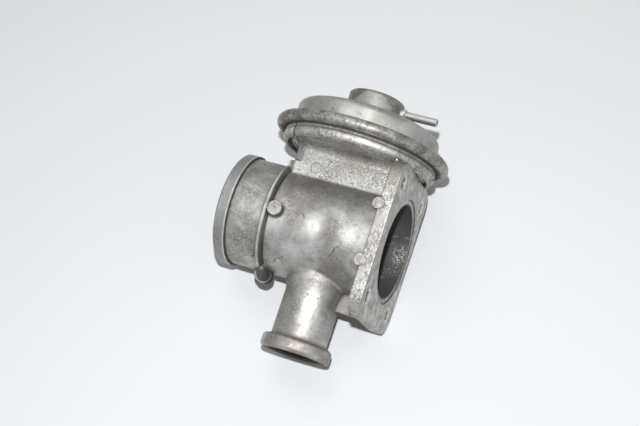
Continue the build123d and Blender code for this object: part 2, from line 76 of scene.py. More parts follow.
def add_node(tree, kind, inputs=(), **settings):
    """Adds a node to a tree; its inputs are plain values or other nodes' sockets."""
    made = tree.nodes.new(kind)
    for name, value in settings.items():
        setattr(made, name, value)
    for name, value in dict(inputs).items():
        if isinstance(value, bpy.types.NodeSocket):
            tree.links.new(value, made.inputs[name])
        else:
            made.inputs[name].default_value = value
    return made


def new_material(name):
    """An empty node material with its output node."""
    material = bpy.data.materials.new(name)
    material.use_nodes = True
    material.node_tree.nodes.clear()
    output = material.node_tree.nodes.new("ShaderNodeOutputMaterial")
    return material, material.node_tree, output


def mesh_piece(name, points, faces, material):
    """A mesh object at the origin, linked to the scene."""
    mesh = bpy.data.meshes.new(name)
    mesh.from_pydata(points, [], faces)
    mesh.materials.append(material)
    piece = bpy.data.objects.new(name, mesh)
    scene.collection.objects.link(piece)
    return piece


table_white, tree, output = new_material("table_white")
board = add_node(tree, "ShaderNodeBsdfPrincipled", {
    "Base Color": (0.855, 0.882, 0.915, 1), "Roughness": 0.8})
clear = add_node(tree, "ShaderNodeBsdfTransparent")
seen_from = add_node(tree, "ShaderNodeNewGeometry")
sides = add_node(tree, "ShaderNodeMixShader", {
    0: seen_from.outputs["Backfacing"], 1: board.outputs[0], 2: clear.outputs[0]})
tree.links.new(sides.outputs[0], output.inputs["Surface"])

table_middle = table_normal * table_offset
table_x = table_normal.cross(Vector((0, 1, 0))).normalized() * -table_half
table_y = table_normal.cross(table_x).normalized() * table_half
table_corners = [table_middle + table_x * across + table_y * along
                 for across, along in ((-1, -1), (1, -1), (1, 1), (-1, 1))]
table = mesh_piece("table", table_corners, [(0, 1, 2, 3)], table_white)
if table.data.polygons[0].normal.dot(table_normal) < 0:
    table.data.flip_normals()

# ----------------------------------------
# Light: a small flash just above the camera, a wide soft box overhead, and a
# pale room that the camera, gloss and glass see brighter than the fill it gives.
# ----------------------------------------
valve_middle = Vector((-0.04, 0, 0))
room_seen = (0.80, 0.84, 0.88, 1)
room_fill = (0.20, 0.192, 0.176, 1)
world = bpy.data.worlds.new("pale_room")
scene.world = world
world.use_nodes = True
tree = world.node_tree
tree.nodes.clear()
ray = add_node(tree, "ShaderNodeLightPath")
seen = add_node(tree, "ShaderNodeMath", {
    0: ray.outputs["Is Camera Ray"], 1: ray.outputs["Is Glossy Ray"]}, operation="MAXIMUM")
seen = add_node(tree, "ShaderNodeMath", {
    0: seen.outputs[0], 1: ray.outputs["Is Transmission Ray"]}, operation="MAXIMUM")
room = add_node(tree, "ShaderNodeMix", {
    0: seen.outputs[0], 6: room_fill, 7: room_seen}, data_type="RGBA")
backdrop = add_node(tree, "ShaderNodeBackground", {"Color": room.outputs[2]})
tree.links.new(backdrop.outputs[0], add_node(tree, "ShaderNodeOutputWorld").inputs[0])


def area_light(name, place, size, watts, colour=(1, 1, 1)):
    """A square lamp that faces the valve."""
    lamp = bpy.data.lights.new(name, "AREA")
    lamp.size = size
    lamp.energy = watts
    lamp.color = colour
    holder = bpy.data.objects.new(name, lamp)
    holder.location = place
    holder.rotation_euler = (valve_middle - place).to_track_quat("-Z", "Y").to_euler()
    scene.collection.objects.link(holder)


flash_place = camera_place + camera_up * 0.10 - camera_right * 0.010
flash_size, flash_watts = 0.02, 5.6
area_light("flash", flash_place, flash_size, flash_watts)
soft_place = table_normal * 1.3 + Vector((-0.5, 0.5, 0))
soft_size, soft_watts = 0.9, 2.2
area_light("soft_box", soft_place, soft_size, soft_watts, (1, 0.99, 0.97))

# ----------------------------------------
# Body casting: duct, hose spigot, flange, inlet pipe, neck and bowl in one
# pressure die casting of aluminium alloy, left rough and stained by road dirt
# outside and by soot in its bores.
# ----------------------------------------


def mask_group(name, inputs, outputs):
    """A node group with named number inputs and named mask outputs."""
    group = bpy.data.node_groups.new(name, "ShaderNodeTree")
    for label, value in inputs.items():
        made = group.interface.new_socket(label, in_out="INPUT", socket_type="NodeSocketFloat")
        made.default_value = value
    for label in outputs:
        group.interface.new_socket(label, in_out="OUTPUT", socket_type="NodeSocketFloat")
    given = add_node(group, "NodeGroupInput").outputs
    return group, given, add_node(group, "NodeGroupOutput").inputs


def use_group(tree, group, **values):
    """Places a node group in a tree with its own values; underscores stand for spaces."""
    placed = add_node(tree, "ShaderNodeGroup")
    placed.node_tree = group
    for label, value in values.items():
        socket = placed.inputs[label.replace("_", " ")]
        if isinstance(value, bpy.types.NodeSocket):
            tree.links.new(value, socket)
        else:
            socket.default_value = value
    return placed.outputs


def maths(tree, operation, first, second=0.0, third=0.0, clamp=False):
    """The result of one Math node."""
    made = add_node(tree, "ShaderNodeMath", {0: first, 1: second, 2: third}, operation=operation)
    made.use_clamp = clamp
    return made.outputs[0]


def vector_maths(tree, operation, first, second=(0, 0, 0)):
    """The result of one Vector Math node, a vector or a number."""
    beside = 3 if operation == "SCALE" else 1
    made = add_node(tree, "ShaderNodeVectorMath", {0: first, beside: second}, operation=operation)
    is_number = operation in ("DISTANCE", "DOT_PRODUCT", "LENGTH")
    return made.outputs["Value" if is_number else "Vector"]


def ramp(tree, value, low, high, at_low=0.0, at_high=1.0):
    """A smooth step of a value from low to high."""
    return add_node(tree, "ShaderNodeMapRange", {
        "Value": value, "From Min": low, "From Max": high, "To Min": at_low, "To Max": at_high},
        interpolation_type="SMOOTHSTEP").outputs[0]


def object_place(tree):
    """A place in the object's own coordinates, in metres."""
    return add_node(tree, "ShaderNodeTexCoord").outputs["Object"]


def noise(tree, place, size, detail, roughness=0.5, distortion=0.0, seed=None):
    """Noise at a place, with waves of a size in metres; a seed picks another pattern."""
    inputs = {"Vector": place, "Scale": maths(tree, "DIVIDE", 1.0, size), "Detail": detail,
              "Roughness": roughness, "Distortion": distortion}
    if seed is not None:
        inputs["W"] = seed
    return add_node(tree, "ShaderNodeTexNoise", inputs,
                    noise_dimensions="3D" if seed is None else "4D").outputs


# Patches of one size, with soft or hard borders, that cover a share of the surface
mottle, given, result = mask_group(
    "mottle", {"Size": 0.01, "Share": 0.5, "Softness": 0.2, "Seed": 0.0}, ["Mask"])
patches = noise(mottle, object_place(mottle), given["Size"], 6.0, 0.6, 0.3, given["Seed"])[0]
middle = maths(mottle, "MULTIPLY_ADD", given["Share"], -0.42, 0.71)
spread = maths(mottle, "MULTIPLY", given["Softness"], 0.5)
mottle.links.new(ramp(mottle, patches, maths(mottle, "SUBTRACT", middle, spread), maths(
    mottle, "ADD", middle, spread)), result["Mask"])

# Hairlines: thin broken seams and scratches that hold dirt
hairlines, given, result = mask_group(
    "hairlines", {"Size": 0.02, "Width": 0.01, "Seed": 0.0}, ["Mask"])
folds = noise(hairlines, object_place(hairlines), given["Size"], 3.0, 0.55, 0.8, given["Seed"])[0]
away = maths(hairlines, "ABSOLUTE", maths(hairlines, "SUBTRACT", folds, 0.5))
hairlines.links.new(ramp(hairlines, away, given["Width"], 0.0), result["Mask"])

# Hollows, found by ambient occlusion, where dirt stays and painted shade goes, and edges that
# wear bright
relief, given, result = mask_group(
    "relief", {"Hollow reach": 0.003, "Edge reach": 0.001}, ["Hollows", "Edges"])
hollow = add_node(relief, "ShaderNodeAmbientOcclusion", {
    "Distance": given["Hollow reach"]}, samples=8, only_local=True)
relief.links.new(ramp(relief, hollow.outputs["AO"], 0.95, 0.45), result["Hollows"])
edge = add_node(relief, "ShaderNodeAmbientOcclusion", {
    "Distance": given["Edge reach"]}, samples=8, only_local=True, inside=True)
relief.links.new(ramp(relief, edge.outputs["AO"], 0.9, 0.5), result["Edges"])

# Grain of the surface: fine grains with pits, on longer waves left by the mould
grain, given, result = mask_group("grain", {
    "Grain size": 0.0008, "Wave size": 0.014, "Grain height": 0.00004, "Wave height": 0.0002},
    ["Height"])
place = object_place(grain)
grains = noise(grain, place, given["Grain size"], 4.0, 0.65)[0]
waves = noise(grain, place, given["Wave size"], 2.0, 0.45)[0]
grain.links.new(maths(grain, "MULTIPLY_ADD", grains, given["Grain height"], maths(
    grain, "MULTIPLY", waves, given["Wave height"])), result["Height"])

# One scratch or dirt line from a start to an end, wavering and thin at both ends
scratch, given, result = mask_group("scratch", {"Width": 0.0004, "Waver": 0.0012}, ["Mask"])
for label in ("Start", "End"):
    scratch.interface.new_socket(label, in_out="INPUT", socket_type="NodeSocketVector")
sway_size = 1 / 300
place = object_place(scratch)
sway = vector_maths(scratch, "SUBTRACT", noise(
    scratch, place, sway_size, 3.0)["Color"], (0.5, 0.5, 0.5))
sway = vector_maths(scratch, "SCALE", sway, given["Waver"])
offset = vector_maths(
    scratch, "SUBTRACT", vector_maths(scratch, "ADD", place, sway), given["Start"])
line = vector_maths(scratch, "SUBTRACT", given["End"], given["Start"])
reached = maths(scratch, "DIVIDE", vector_maths(scratch, "DOT_PRODUCT", offset, line),
                vector_maths(scratch, "DOT_PRODUCT", line, line), clamp=True)
nearest = vector_maths(scratch, "SCALE", line, reached)
away = vector_maths(scratch, "DISTANCE", offset, nearest)
from_ends = maths(scratch, "MULTIPLY", reached, maths(scratch, "SUBTRACT", 1.0, reached))
scratch.links.new(maths(scratch, "MULTIPLY", ramp(scratch, from_ends, 0.0, 0.12), ramp(
    scratch, away, given["Width"], 0.0)), result["Mask"])


class Finish:
    """A finish built up in layers on one Principled BSDF."""

    def __init__(self, name, colour, roughness, metallic=1.0):
        self.material, self.tree, self.output = new_material(name)
        self.place = object_place(self.tree)
        self.x, self.y, self.z = add_node(
            self.tree, "ShaderNodeSeparateXYZ", {0: self.place}).outputs
        self.colour, self.roughness, self.metallic = colour + (1,), roughness, metallic

    def patches(self, size, share, softness, seed):
        """Mask of irregular patches."""
        return use_group(self.tree, mottle, Size=size, Share=share, Softness=softness,
                         Seed=seed)["Mask"]

    def hairlines(self, size, width, seed):
        """Mask of thin seams and scratches."""
        return use_group(self.tree, hairlines, Size=size, Width=width, Seed=seed)["Mask"]

    def relief(self, hollow_reach, edge_reach):
        """Masks of hollows and of edges."""
        return use_group(self.tree, relief, Hollow_reach=hollow_reach, Edge_reach=edge_reach)

    def spot(self, centre, radii, border=0.5):
        """Mask of one soft spot at a place."""
        offset = vector_maths(self.tree, "SUBTRACT", self.place, centre)
        scaled = vector_maths(self.tree, "DIVIDE", offset, radii)
        return self.step(vector_maths(self.tree, "LENGTH", scaled), 1.0, border)

    def scratch(self, start, end, width, waver=0.0012):
        """Mask of one scratch between two places in millimetres."""
        return use_group(self.tree, scratch, Start=Vector(start) / 1000, End=Vector(end) / 1000,
                         Width=width, Waver=waver)["Mask"]

    def step(self, value, low, high):
        """Mask that rises smoothly between two values."""
        return ramp(self.tree, value, low, high)

    def within(self, value, low, high, border=0.0003):
        """Mask of a value between two limits."""
        return self.both(self.step(value, low - border, low + border),
                         self.step(value, high + border, high - border))

    def less(self, first, second):
        """Difference of two values."""
        return maths(self.tree, "SUBTRACT", first, second)

    def plus(self, first, second):
        """Sum of two values."""
        return maths(self.tree, "ADD", first, second)

    def size(self, value):
        """A value without its sign."""
        return maths(self.tree, "ABSOLUTE", value)

    def scaled(self, value, factor, start):
        """A value times a factor, added to a start."""
        return maths(self.tree, "MULTIPLY_ADD", value, factor, start)

    def most(self, *masks):
        """Largest of some masks."""
        largest = masks[0]
        for mask in masks[1:]:
            largest = maths(self.tree, "MAXIMUM", largest, mask)
        return largest

    def reach(self, across, along):
        """Distance made by two offsets at right angles."""
        return maths(self.tree, "SQRT", self.plus(
            self.both(across, across), self.both(along, along)))

    def both(self, *masks):
        """Product of masks and numbers."""
        product = masks[0]
        for mask in masks[1:]:
            product = maths(self.tree, "MULTIPLY", product, mask)
        return product

    def lay(self, *masks, colour=None, roughness=None, metallic=None):
        """Covers what is there with new values where the product of the masks says."""
        mask = self.both(*masks)
        if colour is not None:
            self.colour = add_node(self.tree, "ShaderNodeMix", {
                0: mask, 6: self.colour, 7: colour + (1,)}, data_type="RGBA").outputs[2]
        if roughness is not None:
            self.roughness = add_node(self.tree, "ShaderNodeMix", {
                0: mask, 2: self.roughness, 3: roughness}).outputs[0]
        if metallic is not None:
            self.metallic = add_node(self.tree, "ShaderNodeMix", {
                0: mask, 2: self.metallic, 3: metallic}).outputs[0]

    def bumps(self, grain_size, wave_size, grain_height, wave_height):
        """Height of the grain and waves."""
        return use_group(
            self.tree, grain, Grain_size=grain_size, Wave_size=wave_size,
            Grain_height=grain_height, Wave_height=wave_height)["Height"]

    def close(self, height=None):
        """Joins the layers to the shader and returns the material."""
        shader = add_node(self.tree, "ShaderNodeBsdfPrincipled", {
            "Base Color": self.colour, "Roughness": self.roughness, "Metallic": self.metallic})
        if height is not None:
            bump = add_node(self.tree, "ShaderNodeBump", {"Height": height, "Distance": 1.0})
            self.tree.links.new(bump.outputs[0], shader.inputs["Normal"])
        self.tree.links.new(shader.outputs[0], self.output.inputs["Surface"])
        return self.material


def dress(node, material):
    """Gives a CAD node its finish."""
    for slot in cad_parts[node].material_slots:
        slot.material = material


stem_x = -0.037
duct_bore_r = 0.0264
pipe_bore_r = 0.0142
pad_x = -0.0628
boss_x = -0.0072
boss_y = 0.0156
hole_y = 0.0315
hole_z = 0.02575
hole_rise = 0.003
hole_r = 0.0033
flange_back = -0.0072
duct_r = 0.0300
lip_x = -0.0888
rib_x = -0.0684
pale_casting = (0.44, 0.43, 0.41)
grey_casting = (0.30, 0.292, 0.28)
rubbed_and_highlight_casting = (0.60, 0.59, 0.565)
brown_stain = (0.205, 0.184, 0.158)
grime_and_shade = (0.05, 0.044, 0.038)
painted_gap_shade = (0.02, 0.018, 0.016)
worn_bright = (0.66, 0.65, 0.62)
soot = (0.095, 0.09, 0.09)
pipe_soot = (0.05, 0.043, 0.037)

cast = Finish("cast_aluminium", grey_casting, 0.50)
from_duct_axis = cast.reach(cast.y, cast.z)
from_stem_axis = cast.reach(cast.less(cast.x, stem_x), cast.z)
on_neck = cast.step(cast.y, 0.022, 0.027)
on_bowl = cast.both(cast.step(from_stem_axis, 0.0375, 0.0390),
                    cast.step(cast.y, 0.0405, 0.0415))
on_bead = cast.step(cast.y, -0.058, -0.062)
on_spigot = cast.step(cast.x, -0.066, -0.070)
on_lip = cast.both(cast.step(cast.x, lip_x + 0.0004, lip_x - 0.0002),
                   cast.step(from_duct_axis, duct_r, duct_r + 0.0003))
on_flange_edge = cast.both(cast.step(cast.x, flange_back - 0.0013, flange_back),
                           cast.step(from_duct_axis, duct_r + 0.0005, duct_r + 0.0020))
on_flange_face = cast.both(cast.step(cast.x, -0.0006, -0.0003),
                           cast.step(cast.y, 0.0425, 0.0418))
on_web = cast.both(cast.within(cast.x, -0.0210, flange_back - 0.0002),
                   cast.step(cast.y, -0.0300, -0.0310),
                   cast.within(cast.z, -0.0034, 0.0034))
top_of_flange = cast.spot((-0.0040, 0.0360, 0.0370), (0.0090, 0.0110, 0.0120), 0.55)

# Cloudy tone of the casting, with the smoother places that hands and pipes have rubbed, and
# painted highlights and shade laid on the bowl, the duct and the pipe
cast.lay(cast.patches(0.026, 0.5, 0.22, 3.1), colour=pale_casting, roughness=0.46)
cast.lay(on_neck, 0.7, colour=(0.50, 0.49, 0.465), roughness=0.52)
cast.lay(on_bead, 0.7, colour=(0.30, 0.275, 0.24), roughness=0.56)
cast.lay(on_flange_edge, 0.5, colour=(0.50, 0.485, 0.45), roughness=0.5)
# The bowl's wall laid paler, partly as a painted highlight
cast.lay(on_bowl, 0.8, colour=(0.60, 0.585, 0.555), roughness=0.58)
cast.lay(cast.patches(0.020, 0.42, 0.22, 7.4), 0.6, colour=brown_stain, roughness=0.58)
cast.lay(cast.patches(0.0065, 0.36, 0.22, 1.4), 0.45, colour=brown_stain, roughness=0.6)
cast.lay(cast.patches(0.0100, 0.30, 0.22, 6.3), 0.5, colour=worn_bright, roughness=0.44)
cast.lay(on_lip, 0.8, colour=(0.285, 0.28, 0.272), roughness=0.48)
cast.lay(on_flange_edge, cast.patches(0.0075, 0.42, 0.14, 13.3), 0.6,
         colour=brown_stain, roughness=0.6)
smudged = cast.patches(0.006, 0.62, 0.35, 12.6)
# Pale smooth spots on the duct, the pipe, the neck and the bowl: rubbing, and painted highlights
# where the flash falls
for highlight_place, highlight_size in (
        ((-0.0405, -0.0050, 0.0296), (0.0070, 0.0120, 0.008)),
        ((-0.0323, -0.0450, 0.0149), (0.0085, 0.0220, 0.008)),
        ((-0.0252, -0.0450, 0.0102), (0.0090, 0.0320, 0.014)),
        ((-0.0600, 0.0270, 0.0180), (0.0120, 0.0060, 0.006)),
        ((-0.0189, 0.0455, 0.0395), (0.0130, 0.0036, 0.012)),
        ((-0.0100, 0.0435, 0.0336), (0.0070, 0.0040, 0.009)),
        ((-0.0600, 0.0010, 0.0290), (0.0060, 0.0100, 0.006)),
        ((-0.0480, -0.0180, 0.0240), (0.0110, 0.0070, 0.010)),
        ((-0.0620, -0.0080, 0.0280), (0.0080, 0.0120, 0.010))):
    cast.lay(cast.spot(highlight_place, highlight_size, 0.1), smudged, 0.8,
             colour=rubbed_and_highlight_casting, roughness=0.46)
# A duller, darker patch over the second swelling, painted to dim its highlight
cast.lay(cast.spot((-0.0185, -0.0015, 0.0300), (0.0100, 0.0125, 0.008), 0.1), smudged,
         colour=(0.42, 0.412, 0.395), roughness=0.55)
# Brown stains; the band between the duct's two highlights and the two on the pipe's left side are
# painted shade as well
for stain_and_shade_place, stain_and_shade_size in (
        ((-0.0300, -0.0050, 0.0295), (0.0045, 0.0150, 0.010)),
        ((-0.0230, -0.0180, 0.0240), (0.0110, 0.0100, 0.012)),
        ((-0.0500, 0.0040, 0.0295), (0.0070, 0.0080, 0.008)),
        ((-0.0560, 0.0180, 0.0240), (0.0100, 0.0060, 0.008)),
        ((-0.0040, 0.0330, 0.0340), (0.0080, 0.0120, 0.016)),
        ((-0.0500, -0.0340, 0.0110), (0.0100, 0.0140, 0.012)),
        ((-0.0500, -0.0480, 0.0080), (0.0100, 0.0240, 0.014)),
        ((-0.0180, -0.0340, 0.0000), (0.0130, 0.0090, 0.006))):
    cast.lay(cast.spot(stain_and_shade_place, stain_and_shade_size, 0.1), 0.6,
             colour=brown_stain, roughness=0.6)
cast.lay(on_web, 0.8, colour=(0.25, 0.235, 0.215), roughness=0.6)
cast.lay(top_of_flange, 0.75, colour=(0.27, 0.25, 0.222), roughness=0.56)

# Dirt in hairline seams and scratches
cast.lay(cast.hairlines(0.016, 0.010, 2.0), cast.patches(0.013, 0.34, 0.12, 5.2), 0.65,
         colour=grime_and_shade, roughness=0.7)
for start, end, width in (
        ((-28.6, -17.2, 24.8), (-25.4, -11.6, 27.7), 0.0006),
        ((-26.0, -12.6, 27.2), (-23.4, -9.2, 28.7), 0.0009),
        ((-65.0, -26.4, 14.2), (-58.5, -25.2, 16.2), 0.0006),
        ((-59.5, -25.4, 16.0), (-53.6, -21.8, 20.6), 0.0008),
        ((-39.4, -18.6, 23.6), (-34.8, -15.2, 25.8), 0.0005)):
    cast.lay(cast.scratch(start, end, width, 0.0045), 0.85, colour=grime_and_shade, roughness=0.7)

# Pitting: dark pits and bright grains, thick on the neck and the flange's edge
most_pitted = cast.most(
    on_neck, on_flange_edge, cast.both(on_bead, 0.10), cast.both(on_spigot, 0.25))
smoother = cast.both(cast.most(on_bead, on_lip, top_of_flange), 0.7)
pitted = cast.both(
    cast.scaled(most_pitted, 0.52, 0.32), cast.less(1.0, smoother),
    cast.plus(cast.patches(0.013, 0.5, 0.25, 11.0), 0.25))
cast.lay(cast.patches(0.0010, 0.45, 0.25, 2.2), pitted, 0.85,
         colour=(0.15, 0.135, 0.118), roughness=0.7)
cast.lay(cast.patches(0.0009, 0.34, 0.18, 5.9), pitted, 0.85,
         colour=worn_bright, roughness=0.44)
cast.lay(cast.patches(0.0016, 0.30, 0.10, 8.8), cast.patches(0.012, 0.30, 0.16, 4.1), 0.7,
         colour=grime_and_shade, roughness=0.75)
caked = cast.most(
    cast.spot((-0.0780, -0.0190, 0.0230), (0.0130, 0.0050, 0.010), 0.0),
    cast.spot((-0.0720, -0.0250, 0.0160), (0.0050, 0.0080, 0.010), 0.0))
cast.lay(cast.hairlines(0.0036, 0.030, 6.6), caked, 0.9, colour=grime_and_shade, roughness=0.75)

# Crests of the lip and the rib, rubbed bright by the hose and painted brighter as highlights,
# with dirt and painted shade beside them and painted shade on the rib's flank
crests = cast.most(
    cast.both(cast.within(cast.x, lip_x - 0.0009, lip_x - 0.0002, 0.0002),
              cast.step(from_duct_axis, duct_r + 0.0006, duct_r + 0.0010)),
    cast.both(cast.within(cast.x, rib_x - 0.0006, rib_x + 0.0004, 0.0003),
              cast.step(from_duct_axis, duct_r + 0.0017, duct_r + 0.0021)))
rib_flank_shade = cast.both(cast.within(cast.x, rib_x + 0.0008, rib_x + 0.0026),
                      cast.step(from_duct_axis, duct_r - 0.0001, duct_r + 0.0002))
cast.lay(rib_flank_shade, 0.75, colour=(0.125, 0.117, 0.106), roughness=0.6)
# Painted shadow in a crescent round the pad's lower right side
across_pad = cast.less(cast.x, pad_x)
pad_shadow = cast.both(
    cast.within(cast.reach(across_pad, cast.y), 0.0038, 0.0050, 0.0004),
    cast.step(cast.less(across_pad, cast.y), -0.0010, 0.0030))
cast.lay(pad_shadow, 0.8, colour=(0.09, 0.084, 0.075), roughness=0.65)
cast.lay(crests, cast.patches(0.009, 0.62, 0.4, 4.9), 0.75,
         colour=(0.70, 0.69, 0.67), roughness=0.38)
shade_and_dirt_by_crests = cast.both(cast.most(
    cast.within(cast.x, lip_x, lip_x + 0.0007, 0.0002),
    cast.within(cast.x, rib_x - 0.0018, rib_x - 0.0013, 0.0002),
    cast.within(cast.x, rib_x + 0.0016, rib_x + 0.0028, 0.0003)),
    cast.step(from_duct_axis, duct_r + 0.0012, duct_r + 0.0004))
cast.lay(shade_and_dirt_by_crests, cast.patches(0.012, 0.62, 0.4, 10.2), 0.75,
         colour=grime_and_shade, roughness=0.75)

# Ring that the ejector pin left on the neck
pin_r = 0.0030
from_pin = vector_maths(cast.tree, "DISTANCE", cast.place, (-0.0529, 0.0299, 0.0178))
pin_ring = cast.both(cast.step(from_pin, pin_r - 0.0005, pin_r - 0.0001),
                     cast.step(from_pin, pin_r + 0.0004, pin_r))
cast.lay(cast.step(from_pin, pin_r, pin_r - 0.0004), 0.6, colour=pale_casting, roughness=0.48)
cast.lay(pin_ring, 0.55, colour=brown_stain, roughness=0.5)

# Flange face, wiped by its gasket, with its four bolt holes' rims worn bright and painted with
# highlights, and painted glints at their edges
cast.lay(on_flange_face, 0.85, colour=(0.35, 0.338, 0.32), roughness=0.43)
cast.lay(on_flange_face, cast.patches(0.0055, 0.40, 0.12, 2.7), 0.6,
         colour=(0.60, 0.59, 0.575), roughness=0.5)
cast.lay(on_flange_face, cast.patches(0.006, 0.42, 0.16, 9.9), 0.6,
         colour=brown_stain, roughness=0.55)
from_hole = cast.reach(
    cast.less(cast.size(cast.y), hole_y),
    cast.less(cast.size(cast.less(cast.z, hole_rise)), hole_z))
worn_and_glinting_hole_rim = cast.both(cast.within(from_hole, hole_r + 0.0001, hole_r + 0.0010, 0.0002),
                     cast.step(cast.x, -0.0016, -0.0010))
cast.lay(worn_and_glinting_hole_rim, cast.patches(0.0030, 0.60, 0.3, 3.8), 0.8,
         colour=(0.72, 0.71, 0.69), roughness=0.36)
# Painted glints at the edges of the bolt holes
for glint_y in (-hole_y, hole_y):
    for glint_z in (hole_rise - hole_z, hole_rise + hole_z):
        cast.lay(cast.spot((-0.0004, glint_y - hole_r - 0.0003, glint_z),
                           (0.0014, 0.0010, 0.0024), 0.4), 0.9,
                 colour=(0.86, 0.85, 0.83), roughness=0.34)

# Moulding bosses on the flange: pitted tops, dirt and painted shade round their sides
boss_r = 0.0031
boss_high = 0.0397
from_boss = cast.reach(cast.less(cast.x, boss_x), cast.less(cast.size(cast.y), boss_y))
boss_side_dirt_and_shade = cast.both(
    cast.within(from_boss, boss_r - 0.0002, boss_r + 0.0006, 0.0002),
    cast.step(cast.z, boss_high - 0.0003, boss_high - 0.0009), cast.step(cast.z, 0.028, 0.032))
cast.lay(boss_side_dirt_and_shade, 0.75, colour=grime_and_shade, roughness=0.75)
boss_top = cast.step(cast.z, boss_high - 0.00025, boss_high - 0.0001)
cast.lay(boss_top, cast.patches(0.0016, 0.45, 0.18, 6.1), 0.7,
         colour=brown_stain, roughness=0.6)

# Shoulder of the bowl, polished where it has been gripped and painted brighter as a highlight
polished_shoulder_highlight = cast.both(
    cast.within(cast.y, 0.0432, 0.0470, 0.0010),
    cast.step(from_stem_axis, 0.0400, 0.0420),
    cast.within(cast.x, -0.0380, -0.0120, 0.0060), cast.step(cast.z, 0.020, 0.026))
cast.lay(polished_shoulder_highlight, cast.patches(0.0036, 0.60, 0.25, 14.2), 0.9,
         colour=(0.62, 0.61, 0.59), roughness=0.5)

# Painted shade under the crimp ring, lines of painted shade in the gaps beside the flange and the
# bowl, painted glints on the flange's top edge, dirt and painted shade in hollows, and edges worn
# bright
shade_under_ring = cast.both(cast.step(cast.y, 0.0474, 0.0486),
                       cast.step(from_stem_axis, 0.0420, 0.0430))
cast.lay(shade_under_ring, 0.85, colour=grime_and_shade, roughness=0.8, metallic=0.5)
# Lines of painted shade in the gaps by the flange's top corner, at the bowl's end and along the
# web's joint
for start, end, width in (
        ((0.2, 42.1, 22.5), (3.6, 40.0, 16.0), 0.0008),
        ((3.0, 40.3, 17.0), (6.0, 38.0, 8.0), 0.0009),
        ((6.5, 42.6, 1.3), (6.4, 47.4, -9.0), 0.0009),
        ((-7.0, -31.0, 3.0), (-7.0, -41.0, 3.0), 0.0009)):
    cast.lay(cast.scratch(start, end, width, 0.0006), 0.9,
             colour=painted_gap_shade, roughness=0.8, metallic=0.5)
# Painted glints on the flange's top edge, over the metal beads
for glint_place in ((-0.0070, 0.0419, 0.0320), (-0.0010, 0.0420, 0.0290)):
    cast.lay(cast.spot(glint_place, (0.0012, 0.0011, 0.0016), 0.4), 0.9,
             colour=(0.85, 0.84, 0.82), roughness=0.3)
# Dirt and painted shade in hollows, and edges worn bright
hollows, edges = cast.relief(0.0030, 0.0012)
cast.lay(hollows, 0.85, colour=grime_and_shade, roughness=0.8, metallic=0.5)
cast.lay(edges, cast.patches(0.004, 0.58, 0.3, 3.3), cast.less(1.0, on_web), 0.5,
         colour=worn_bright, roughness=0.42)

# Soot in the duct's bore and in the inlet pipe's, with pale deposit on it
in_duct = cast.step(from_duct_axis, duct_bore_r + 0.0008, duct_bore_r)
in_pipe = cast.both(cast.step(from_stem_axis, pipe_bore_r + 0.0006, pipe_bore_r),
                    cast.step(cast.y, -0.018, -0.022))
cast.lay(in_duct, colour=soot, roughness=0.62, metallic=0.5)
deposit = cast.most(
    cast.spot((-0.0040, 0.0030, -0.0260), (0.0068, 0.0092, 0.008), 0.2),
    cast.both(cast.patches(0.014, 0.30, 0.12, 4.4), 0.35))
cast.lay(in_duct, deposit, cast.patches(0.0010, 0.40, 0.10, 9.3), 0.85,
         colour=(0.52, 0.51, 0.50), roughness=0.5)
for start, end in (((-12.0, 12.2, -23.5), (-7.4, 13.2, -22.9)),
                   ((-3.6, 12.8, -23.0), (-0.6, 13.6, -22.6)),
                   ((-13.5, 6.4, -25.7), (-9.0, 9.6, -24.6))):
    cast.lay(in_duct, cast.scratch(start, end, 0.0007), 0.8,
             colour=(0.50, 0.49, 0.48), roughness=0.45)
cast.lay(in_pipe, colour=pipe_soot, roughness=0.8, metallic=0.2)
at_mouth = cast.both(cast.step(from_stem_axis, 0.0182, 0.0170),
                     cast.step(cast.y, -0.0660, -0.0675))
cast.lay(at_mouth, 0.85, colour=(0.04, 0.034, 0.029), roughness=0.75, metallic=0.4)

# Swellings of the duct's wall over the seat, where the mould left it thick
swelling = cast.plus(
    cast.spot((-0.0470, -0.0040, 0.0300), (0.0120, 0.0170, 0.012), 0.0),
    cast.spot((-0.0265, -0.0010, 0.0300), (0.0120, 0.0160, 0.012), 0.0))
skin = cast.scaled(swelling, 0.0006, cast.bumps(0.0009, 0.012, 0.00006, 0.0005))
rounded_off = cast.both(
    cast.step(cast.x, -0.0612, -0.0672), cast.step(cast.y, 0.0312, 0.0322),
    cast.step(cast.z, 0.0150, 0.0170))
skin = cast.scaled(rounded_off, -0.0022, skin)
cast_aluminium = cast.close(skin)
dress("body_casting", cast_aluminium)


def cast_piece(name, shell, material, sharp=math.pi):
    """A cast piece of the housing made from a bmesh, smooth up to an angle."""
    bmesh.ops.recalc_face_normals(shell, faces=shell.faces)
    mesh = bpy.data.meshes.new(name)
    shell.to_mesh(mesh)
    shell.free()
    mesh.shade_smooth()
    mesh.set_sharp_from_angle(angle=sharp)
    mesh.materials.append(material)
    piece = bpy.data.objects.new(name, mesh)
    scene.collection.objects.link(piece)
    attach(piece, "housing")


# Block at the neck's foot that carries the mould's edge on to the rib
ledge_corners = (
    (-69.0, 20.0, -16.9), (-60.0, 20.0, -17.4), (-60.0, 20.0, 17.4), (-69.0, 20.0, 16.9),
    (-68.6, 31.2, -17.6), (-60.0, 31.0, -17.6), (-60.0, 31.0, 17.6), (-68.6, 31.2, 17.6))
ledge_round = 0.0008
block = bmesh.new()
ends = [block.verts.new(Vector(corner) / 1000) for corner in ledge_corners]
for face in ((0, 3, 2, 1), (4, 5, 6, 7), (0, 1, 5, 4), (1, 2, 6, 5), (2, 3, 7, 6), (3, 0, 4, 7)):
    block.faces.new([ends[corner] for corner in face])
bmesh.ops.bevel(
    block, geom=block.edges, offset=ledge_round, segments=3, profile=0.5, affect="EDGES")
cast_piece("neck_ledge", block, cast_aluminium)


